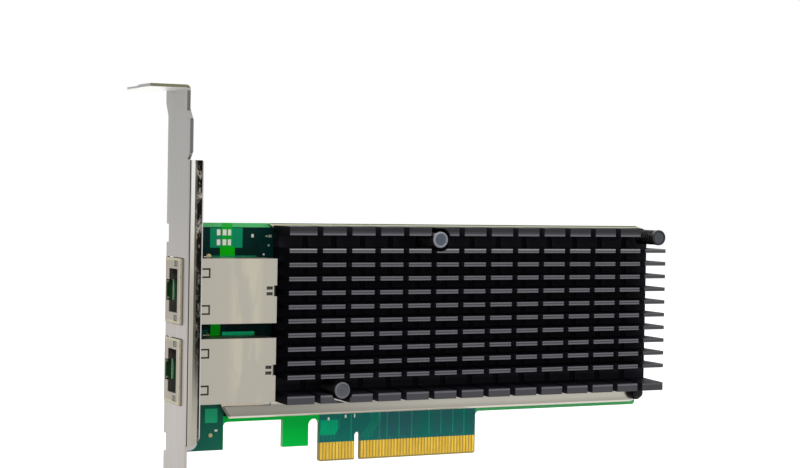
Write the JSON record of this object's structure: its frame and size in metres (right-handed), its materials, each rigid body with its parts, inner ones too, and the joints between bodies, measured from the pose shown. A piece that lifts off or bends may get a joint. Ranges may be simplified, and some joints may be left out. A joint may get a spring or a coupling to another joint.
{
  "type": "network interface card",
  "caption": "Flat expansion card with a tall folded end bracket, shielded network sockets, an edge connector and a wide cross-cut heatsink on sprung pins.",
  "frame": {"origin": "centre of the edge connector's key slot, on the component face, level with the lower end of the contacts", "axes": "+X along the board away from the bracket, +Y from the component face to the back of the board, +Z from the edge connector up"},
  "size_m": [0.1662, 0.0229, 0.12],
  "materials": {
    "board_laminate": "green solder mask, satin",
    "gold_plating": "thin gold over nickel",
    "bracket_steel": "satin nickel plate",
    "screw_steel": "zinc plate",
    "spring_steel": "drawn wire",
    "black_aluminium": "black anodised, satin",
    "bright_aluminium": "plain, satin",
    "black_nylon": "moulded",
    "pad_silicone": "soft gap filler",
    "chip_substrate": "laminate",
    "lid_metal": "nickel plate",
    "chip_resin": "moulded resin",
    "ferrite": "pressed powder",
    "ceramic_body": "fired ceramic",
    "tin_shell": "tin plate",
    "tin_pins": "tin plate",
    "jack_plastic": "moulded",
    "clear_pipe": "clear moulding"
  },
  "bodies": {
    "root": {"back_capacitors": "ceramic_body", "back_resistors": "chip_resin", "board_capacitors": "ceramic_body", "bracket_screws": "screw_steel", "circuit_board": "board_laminate", "controller_lid": "lid_metal", "controller_substrate": "chip_substrate", "crystal_can": "lid_metal", "edge_contacts_back": "gold_plating", "edge_contacts_front": "gold_plating", "flash_memory_chip": "chip_resin", "heatsink": "black_aluminium", "heatsink_frame": "bright_aluminium", "io_bracket": "bracket_steel", "jack_contacts_lower": "gold_plating", "jack_contacts_upper": "gold_plating", "jack_housing_lower": "jack_plastic", "jack_housing_upper": "jack_plastic", "jack_light_pipes_lower": "clear_pipe", "jack_light_pipes_upper": "clear_pipe", "jack_shield_lower": "tin_shell", "jack_shield_upper": "tin_shell", "jack_solder_pins_lower": "tin_pins", "jack_solder_pins_upper": "tin_pins", "jack_transformers_lower": "jack_plastic", "jack_transformers_upper": "jack_plastic", "lane_capacitors": "ceramic_body", "pin_spring_lower_left": "spring_steel", "pin_spring_upper_middle": "spring_steel", "pin_spring_upper_right": "spring_steel", "power_inductors": "ferrite", "push_pin_lower_left": "black_nylon", "push_pin_upper_middle": "black_nylon", "push_pin_upper_right": "black_nylon", "push_rivet": "black_nylon", "thermal_pad": "pad_silicone", "voltage_regulators": "chip_resin"}
  },
  "joints": []
}
